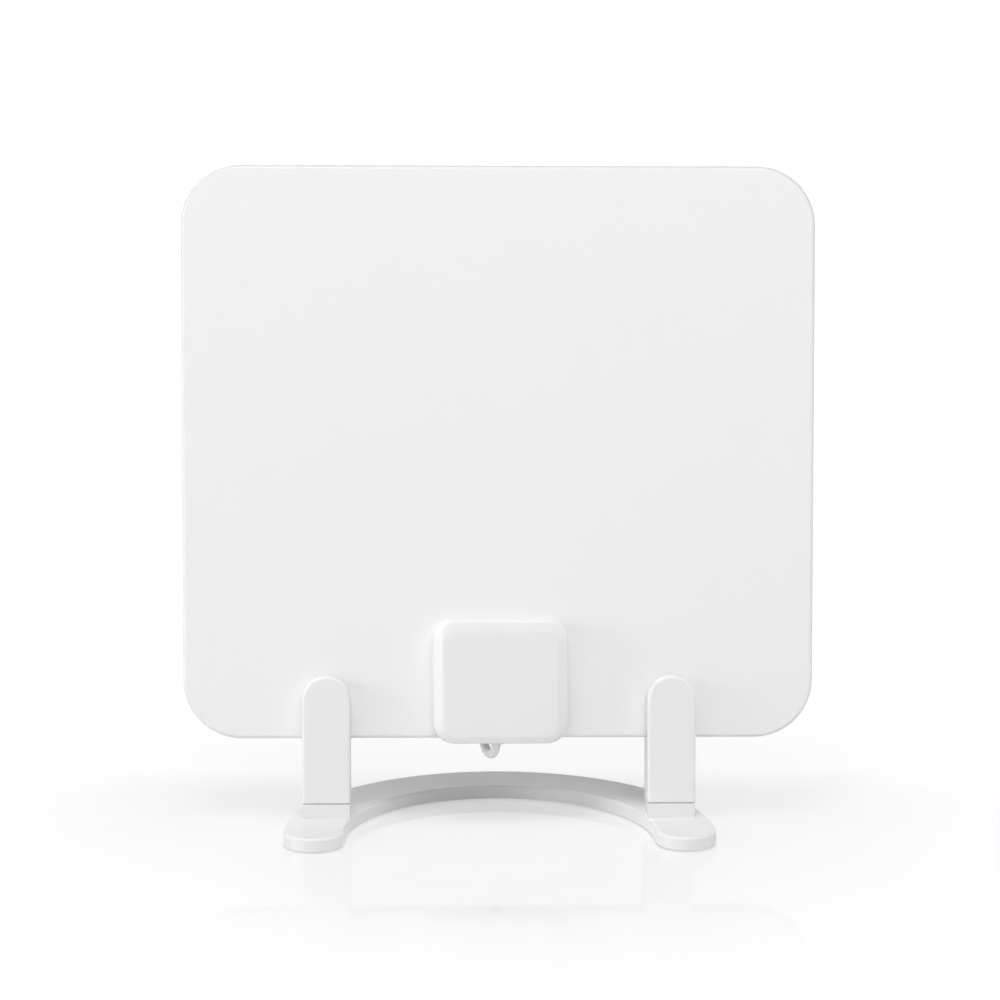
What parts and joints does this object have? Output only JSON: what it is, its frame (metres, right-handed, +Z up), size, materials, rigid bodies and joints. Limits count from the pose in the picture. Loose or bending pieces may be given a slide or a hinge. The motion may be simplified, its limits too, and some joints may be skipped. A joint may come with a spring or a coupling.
{
  "type": "tv antenna",
  "caption": "Flat indoor tv antenna: a thin rounded panel with an amplifier box, leaning in two forked uprights on an arch-shaped base, with a coaxial lead and push-on plug.",
  "frame": {"origin": "on the floor, under the middle of the panel and stand, cord apart", "axes": "+X to the right as seen from the front, +Y to the rear, +Z up; the panel's face looks to -Y"},
  "size_m": [0.21, 0.1736, 0.218],
  "materials": {
    "white_plastic": "fine satin moulding",
    "pad_rubber": "matt",
    "screw_steel": "zinc plated",
    "carrier_film": "smooth",
    "element_foil": "bright foil",
    "board_laminate": "solder mask",
    "can_steel": "tinned",
    "chip_body": "matt",
    "spring_brass": "bright",
    "grommet_rubber": "soft satin",
    "cable_jacket": "smooth sheath",
    "tie_plastic": "matt",
    "plug_plastic": "fine satin moulding",
    "plug_metal": "nickel plated",
    "insulator_plastic": "smooth"
  },
  "bodies": {
    "root": {"stand_base": "white_plastic", "upright_left": "white_plastic", "upright_right": "white_plastic", "upright_screws": "screw_steel", "foot_pads": "pad_rubber", "panel_front": "white_plastic", "panel_back": "white_plastic", "antenna_sheet": "carrier_film", "element_left": "element_foil", "element_right": "element_foil", "box_cover": "white_plastic", "box_screws": "screw_steel", "amp_board": "board_laminate", "amp_shield": "can_steel", "amp_parts": "chip_body", "contact_springs": "spring_brass", "cable_clamp": "can_steel", "cable_grommet": "grommet_rubber", "cable": "cable_jacket", "cable_hank": "cable_jacket", "cable_tail": "cable_jacket", "cable_tie": "tie_plastic", "plug_body": "plug_plastic", "plug_shell": "plug_metal", "plug_insulator": "insulator_plastic", "plug_pin": "spring_brass"}
  },
  "joints": []
}
